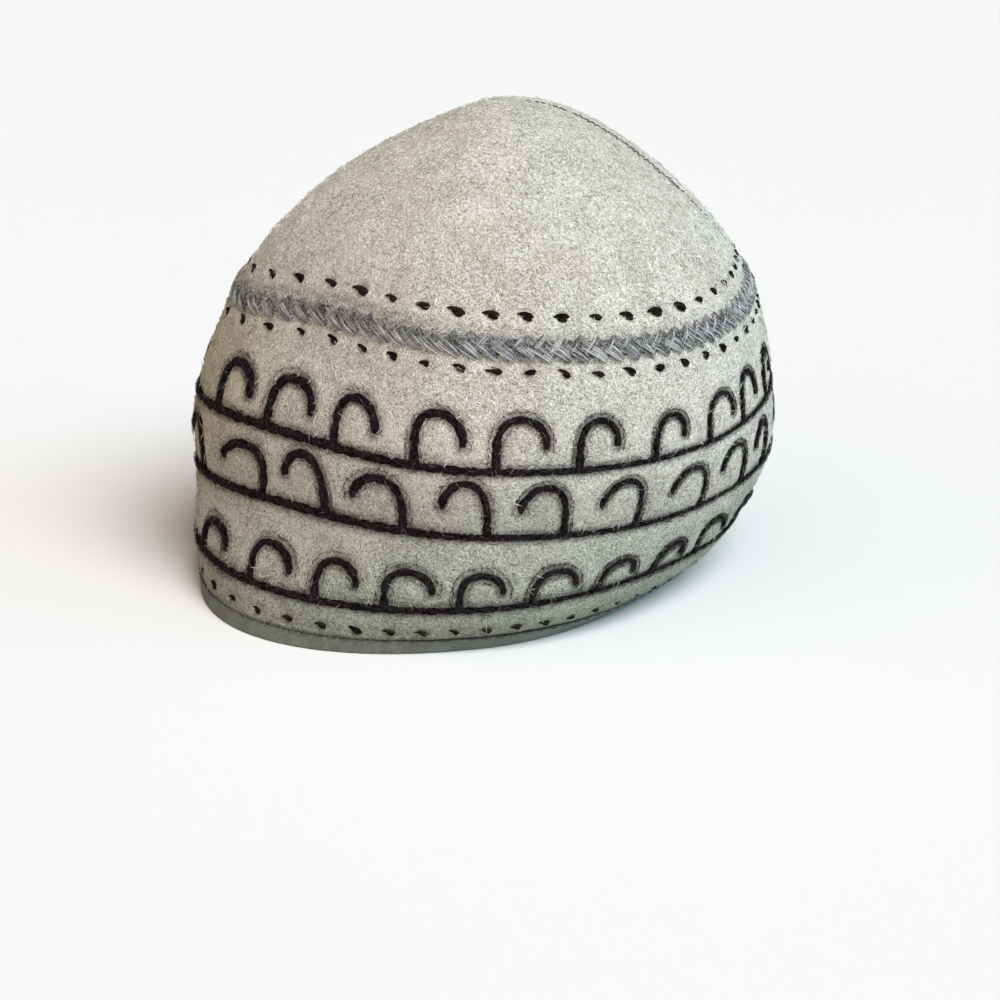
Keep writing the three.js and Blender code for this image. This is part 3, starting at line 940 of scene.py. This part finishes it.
fray_parts = []
outline_parts = []
pale_parts = []
for name, row in SCROLL_ROWS.items():
    line = yarn_lines[name]
    curl = row["curl"]
    fray_parts += [loose_fibres("line fray", line, "scroll") for _ in range(3)]
    for hook in yarn_hooks[name]:
        fray_parts += [loose_fibres("hook fray", hook, "scroll") for _ in range(4)]
        outline_parts += [loose_fibres("outer outline", hook, "scroll", curl) for _ in range(2)]
        outline_parts.append(loose_fibres("inner outline", every(2, hook), "scroll", curl))
    outline_parts.append(loose_fibres("line outline", every(2, line), "scroll"))
    for run in (line, *yarn_hooks[name]):
        pale_parts.append(loose_fibres("pale on scrolls", every(PALE_EVERY, run), "scroll"))
scroll_fray = joined_piece("scroll_fray", fray_parts)
hook_outline = joined_piece("hook_outline", outline_parts)

# %% Fibres of the plait
UPPER_HALF_RISE = 2.2
UPPER_HALF_SPACING = 0.22
FUZZ_SPACING = 0.17
FEWEST_FIBRES = 1 / 7


def thinned(places):
    """Fewer of the places toward the right, where the plait is cleaner."""
    fullness = (widening(places[1]) - 1 + GAP_DIFFERENCE) / (2 * GAP_DIFFERENCE)
    keep = hand.uniform(0, 1, len(fullness)) < np.maximum(fullness, FEWEST_FIBRES)
    return places[0][keep], places[1][keep]


upper_run = line_places(plait_levels, UPPER_HALF_SPACING)
upper_half = thinned(walk(*upper_run, np.zeros(1), UPPER_HALF_RISE))
pale_parts.append(loose_fibres("pale on plait", upper_half, "plait"))
cross_fibres = joined_piece("cross_fibres", pale_parts)
plait_run = thinned(line_places(plait_levels, FUZZ_SPACING))
fuzz_parts = [loose_fibres("plait fuzz", plait_run, "plait"), loose_fibres("upper fuzz", upper_half, "plait")]
plait_fuzz = joined_piece("plait_fuzz", fuzz_parts)

# %% [markdown]
# ## Writing finishes as arithmetic
# A finish is a graph of nodes. Many small lines that add and link nodes hide what it does, so one class
# wraps a node's output. Sums and products of such outputs add the Math nodes by themselves, and one
# method adds any other node.

# %% A class for shader maths
class Shade:
    """One output of a material's nodes, so that shader maths reads as arithmetic."""

    def __init__(self, socket):
        self.socket = socket
        self.tree = socket.id_data

    def node(self, kind, settings=None, sockets=None, output=0):
        """Adds a node of one kind with its settings, then its sockets' values or links."""
        made = self.tree.nodes.new("ShaderNode" + kind)
        for name, value in (settings or {}).items():
            setattr(made, name, value)
        for name, value in (sockets or {}).items():
            if isinstance(value, Shade):
                self.tree.links.new(value.socket, made.inputs[name])
            else:
                made.inputs[name].default_value = value
        return Shade(made.outputs[output])

    def math(self, operation, first, second):
        return self.node("Math", {"operation": operation}, {0: first, 1: second})

    def __add__(self, other):
        return self.math("ADD", self, other)

    def __sub__(self, other):
        return self.math("SUBTRACT", self, other)

    def __rsub__(self, other):
        return self.math("SUBTRACT", other, self)

    def __mul__(self, other):
        return self.math("MULTIPLY", self, other)

    __radd__ = __add__
    __rmul__ = __mul__

    def grain(self, size, detail=2.0, twist=0.0):
        """Noise whose lumps are about a size in millimetres, from 0 to 1."""
        return self.node("TexNoise", {}, {"Vector": self, "Scale": 1 / (size * MM), "Detail": detail,
                                          "Distortion": twist})

    def within(self, low, high):
        """0 below low, 1 above high, smooth between."""
        return self.node("MapRange", {"interpolation_type": "SMOOTHSTEP"},
                         {"Value": self, "From Min": low, "From Max": high})

    def hairs(self, size, thin, twist=1.0):
        """Thin winding lines, 1 on a line and 0 beside it: where soft noise passes its middle."""
        from_middle = self.math("ABSOLUTE", self.grain(size, 1.0, twist) - 0.5, 0.0)
        return 1 - from_middle.within(0.0, thin)

    def moved(self, x, y, z):
        return self.node("VectorMath", {"operation": "ADD"}, {0: self, 1: (x, y, z)})

    def mix(self, first, second, way="MIX"):
        """The first colour where this is 0, the second where it is 1, or their product there."""
        return self.node("Mix", {"data_type": "RGBA", "blend_type": way}, {0: self, 6: first, 7: second}, 2)


# %% Starting a finish
def attribute_of(shade, name):
    """The number of a name that each vertex has."""
    return shade.node("Attribute", {"attribute_name": name}, {}, 2)


def new_finish(name, roughness, sheen):
    """A material with its shader and its object coordinates."""
    material = bpy.data.materials.new(name)
    material.use_nodes = True
    nodes = material.node_tree.nodes
    surface = nodes["Principled BSDF"]
    surface.inputs["Roughness"].default_value = roughness
    surface.inputs["Sheen Weight"].default_value = sheen
    surface.inputs["Specular IOR Level"].default_value = 0.15
    place = Shade(nodes.new("ShaderNodeTexCoord").outputs["Object"])
    return material, surface, place


def join(shade, surface, name):
    shade.tree.links.new(shade.socket, surface.inputs[name])


def bump(height, surface, strength, depth):
    """Raises the surface by a height from 0 to 1, over a depth in millimetres."""
    raised = height.node("Bump", {}, {"Strength": strength, "Distance": depth * MM, "Height": height})
    join(raised, surface, "Normal")


# %% [markdown]
# ## The felt's finish
# Pale warm grey wool, with fibres from nearly white to brown-grey mixed in it. From afar this is
# a fine grain with soft cloudy patches, and close up there are winding hairs, light and dark. Near the
# dark yarn some of its fibres have rubbed off into the felt. Painted shade darkens and warms the left of
# the wall and darkens its foot, most just above the rim. That is the same for the felt and its nap, so
# one function does it, by multiplying, which leaves the contrast of the fibres as it is.

# %% Painted shade on the wool
def painted_shade_on(wool, place):
    """A wool colour with painted shade on it, and how much painted shade lies toward the rim.

    Painted shade darkens and warms the left of the wall, darkens the wall toward the rim, and darkens it most
    just above the rim.
    """
    left = 1 - place.node("SeparateXYZ", {}, {0: place}, 0).within(-0.1, -0.04)
    height = place.node("SeparateXYZ", {}, {0: place}, 2)
    # Painted shade: the lower left of the wall is multiplied darker and warmer.
    painted_left_shade = left * height.within(0.0, 0.06) * (1 - height.within(0.085, 0.12))
    wool = painted_left_shade.mix(wool, (0.66, 0.57, 0.44, 1), "MULTIPLY")
    # Painted shade toward the rim, tinted grey-green and weaker at the left.
    painted_low_shade = 1 - (height + 0.012 * place.grain(14, 3)).within(0.005, 0.08)
    wool = (painted_low_shade * (1 - 0.6 * left)).mix(wool, (0.5, 0.56, 0.52, 1), "MULTIPLY")
    # Painted shade just above the rim, where it is darkest.
    painted_rim_shade = 1 - height.within(0.006, 0.024)
    return (painted_rim_shade * (0.3 + 0.4 * left)).mix(wool, (0.5, 0.5, 0.42, 1), "MULTIPLY"), painted_low_shade


# %% Felt and its nap
def felt_finish():
    material, surface, place = new_finish("felt", 0.95, 0.05)
    clouds = place.grain(14, 3)
    grain = place.grain(0.75, 3, 0.8)
    specks = place.moved(0.31, 0.12, 0.2).grain(0.4, 2)
    long_hairs = place.hairs(2.0, 0.07, 1.5)
    short_hairs = place.moved(0.2, 0.4, 0.1).hairs(1.3, 0.085, 1.0)
    fine_hairs = place.moved(0.6, 0.1, 0.9).hairs(0.9, 0.1, 0.5)
    hairs = 0.4 * long_hairs + 0.35 * short_hairs + 0.25 * fine_hairs
    depth = 0.5 * grain + 0.5 * specks + 0.25 * clouds
    wool = depth.within(0.47, 0.79).mix((0.2, 0.166, 0.12, 1), (0.825, 0.755, 0.655, 1))
    wool = (hairs * 1.6).mix(wool, (0.93, 0.865, 0.76, 1))
    warm_patches = place.moved(0.7, 0.2, 0.4).grain(18, 3, 0.5).within(0.48, 0.72)
    wool = (warm_patches * 0.22).mix(wool, (0.46, 0.37, 0.26, 1))
    gaps = place.moved(0.5, 0.3, 0.7).grain(0.6, 2).within(0.54, 0.66)
    # The wool gets its painted shade on the left and toward the rim here.
    wool, painted_low_shade = painted_shade_on(wool, place)
    # Dark gaps between fibres, denser where the painted shade toward the rim lies.
    wool = (gaps * (0.5 + 0.3 * painted_low_shade)).mix(wool, (0.15, 0.13, 0.097, 1))
    dragged = place.moved(0.9, 0.5, 0.3).hairs(1.1, 0.16, 0.8) * 0.65 + specks.within(0.5, 0.65) * 0.25
    # Fewer rubbed-off dark fibres show in the painted shade toward the rim.
    rubbed = attribute_of(place, "by_yarn") * dragged * (1 - 0.55 * painted_low_shade)
    wool = rubbed.mix(wool, (0.05, 0.04, 0.045, 1))
    join(wool, surface, "Base Color")
    bump(0.4 * grain + 0.3 * specks + 0.8 * hairs, surface, 0.85, 0.6)
    return material


def nap_finish():
    material, surface, place = new_finish("felt_nap", 0.9, 0.05)
    tone = attribute_of(place, "tone")
    colour = tone.within(0.0, 0.6).mix((0.36, 0.33, 0.26, 1), (0.93, 0.90, 0.81, 1))
    # The nap gets the same painted shade as the felt.
    join(painted_shade_on(colour, place)[0], surface, "Base Color")
    return material


felt_wall.data.materials.append(felt_finish())
nap_material = nap_finish()
for piece in (wall_nap, crown_nap, cross_fibres):
    piece.data.materials.append(nap_material)
print("felt:", len(felt_wall.data.materials[0].node_tree.nodes), "nodes in its finish")

# %% [markdown]
# ## The yarns' and the binding's finish
# The scroll yarn is nearly black with plum lights, the plait a soft purplish grey, and the binding a
# smooth grey cloth. The yarns differ only in colour and sheen, so one function makes them all. Each
# strand's own tone sets how light it is, and fine fibres streak it.

# %% Yarns and binding
def yarn_finish(name, dark, light, fibre, sheen):
    material, surface, place = new_finish(name, 0.85, sheen)
    surface.inputs["Specular IOR Level"].default_value = 0.05
    tone = attribute_of(place, "tone")
    grain = place.grain(0.5, 3, 1.0)
    patches = place.moved(0.1, 0.2, 0.3).grain(5, 2)
    colour = (0.45 * tone + 0.5 * grain + 0.4 * patches).within(0.35, 1.0).mix(dark, light)
    colour = (place.hairs(1.2, 0.05) * 0.35).mix(colour, fibre)
    join(colour, surface, "Base Color")
    bump(grain + place.hairs(0.9, 0.1), surface, 0.7, 0.4)
    return material


def binding_finish():
    material, surface, place = new_finish("binding_cloth", 0.9, 0.1)
    grain = place.grain(0.7, 3)
    patches = place.grain(9, 2)
    cloth = (0.6 * grain + 0.5 * patches).within(0.3, 0.85)
    colour = cloth.mix((0.095, 0.098, 0.08, 1), (0.195, 0.202, 0.168, 1))
    join(colour, surface, "Base Color")
    bump(grain, surface, 0.3, 0.25)
    return material


# %% Give the pieces their yarns and cloth
YARN_COLOURS = {
    "scroll_yarn": ((0.0005, 0.0003, 0.0003, 1), (0.011, 0.005, 0.0055, 1), (0.12, 0.092, 0.098, 1), 0.0),
    "yarn_fray": ((0.001, 0.0006, 0.0006, 1), (0.085, 0.06, 0.066, 1), (0.18, 0.145, 0.155, 1), 0.0),
    "stitch_yarn": ((0.003, 0.002, 0.002, 1), (0.025, 0.016, 0.012, 1), (0.06, 0.045, 0.035, 1), 0.0),
    "plait_yarn": ((0.03, 0.026, 0.023, 1), (0.66, 0.63, 0.62, 1), (0.95, 0.94, 0.92, 1), 0.06),
    "thread": ((0.03, 0.025, 0.022, 1), (0.12, 0.105, 0.095, 1), (0.24, 0.21, 0.19, 1), 0.0),
}
YARN_PIECES = {
    "scroll_yarn": (*scroll_pieces, hook_outline),
    "yarn_fray": (scroll_fray,),
    "stitch_yarn": (dots,),
    "plait_yarn": (plait, plait_fuzz),
    "thread": (edge_stitches,),
}
for name, pieces in YARN_PIECES.items():
    yarn_material = yarn_finish(name, *YARN_COLOURS[name])
    for piece in pieces:
        piece.data.materials.append(yarn_material)
binding.data.materials.append(binding_finish())
print("finishes:", [material.name for material in bpy.data.materials])

# %% [markdown]
# ## The studio
# The cap stands on a plain pale floor in soft light. A wide sun from the upper right is the main
# light, so that the left side and the wall near the floor are in soft shade. A weak warm lamp lifts
# the left, and a cool one the right flank. The camera looks down at the cap from the front.

# %% Floor, sun and sky
SKY_COLOUR = (1.0, 0.92, 0.80, 1)
SKY_STRENGTH = 0.125


def plain_floor():
    bpy.ops.object.select_all(action="DESELECT")
    bpy.ops.mesh.primitive_plane_add(size=60)
    floor = bpy.context.object
    floor.name = "floor"
    material, surface, place = new_finish("floor", 0.9, 0.0)
    colour = place.grain(400, 1).mix((0.855, 0.825, 0.80, 1), (0.87, 0.84, 0.815, 1))
    join(colour, surface, "Base Color")
    floor.data.materials.append(material)


def sun(name, place, softness, strength, colour):
    """A far lamp that shines from a place towards the cap, with soft shadows."""
    data = bpy.data.lights.new(name, "SUN")
    data.angle = math.radians(softness)
    data.energy = strength
    data.color = colour
    made = bpy.data.objects.new(name, data)
    made.location = place
    made.rotation_euler = (-Vector(place)).to_track_quat("-Z", "Y").to_euler()
    bpy.context.scene.collection.objects.link(made)


plain_floor()
sun("main_sun", (0.42, -0.46, 0.85), softness=40, strength=3.38, colour=(0.90, 0.93, 0.97))
sun("warm_fill", (-0.6, -0.35, 0.75), softness=90, strength=0.68, colour=(1.0, 0.88, 0.72))
sun("cool_side", (0.95, -0.25, 0.25), softness=60, strength=1.45, colour=(0.25, 0.74, 1.0))
sky = bpy.data.worlds.new("sky")
sky.use_nodes = True
glow = sky.node_tree.nodes["Background"]
glow.inputs["Color"].default_value = SKY_COLOUR
glow.inputs["Strength"].default_value = SKY_STRENGTH
bpy.context.scene.world = sky
bpy.context.scene.view_settings.view_transform = "Standard"
print("lamps:", [lamp.name for lamp in bpy.data.lights])

# %% Camera
CAMERA_DROP = math.radians(19.4)
CAMERA_DISTANCE = 700
CAMERA_AIM = np.array([6.5, 0, 18])
CAP_WIDTH = 188
PHOTO_CAP_WIDTH = 577
PHOTO_WIDTH = 1000
SENSOR_WIDTH = 36

camera_data = bpy.data.cameras.new("camera")
camera_data.sensor_width = SENSOR_WIDTH
camera_data.lens = SENSOR_WIDTH * PHOTO_CAP_WIDTH / CAP_WIDTH * CAMERA_DISTANCE / PHOTO_WIDTH
camera = bpy.data.objects.new("camera", camera_data)
back = CAMERA_DISTANCE * np.array([0, -math.cos(CAMERA_DROP), math.sin(CAMERA_DROP)])
camera.location = placed(CAMERA_AIM + back)
camera.rotation_euler = (math.pi / 2 - CAMERA_DROP, 0, 0)
bpy.context.scene.collection.objects.link(camera)
bpy.context.scene.camera = camera
print("camera:", round(camera_data.lens, 2), "mm lens")
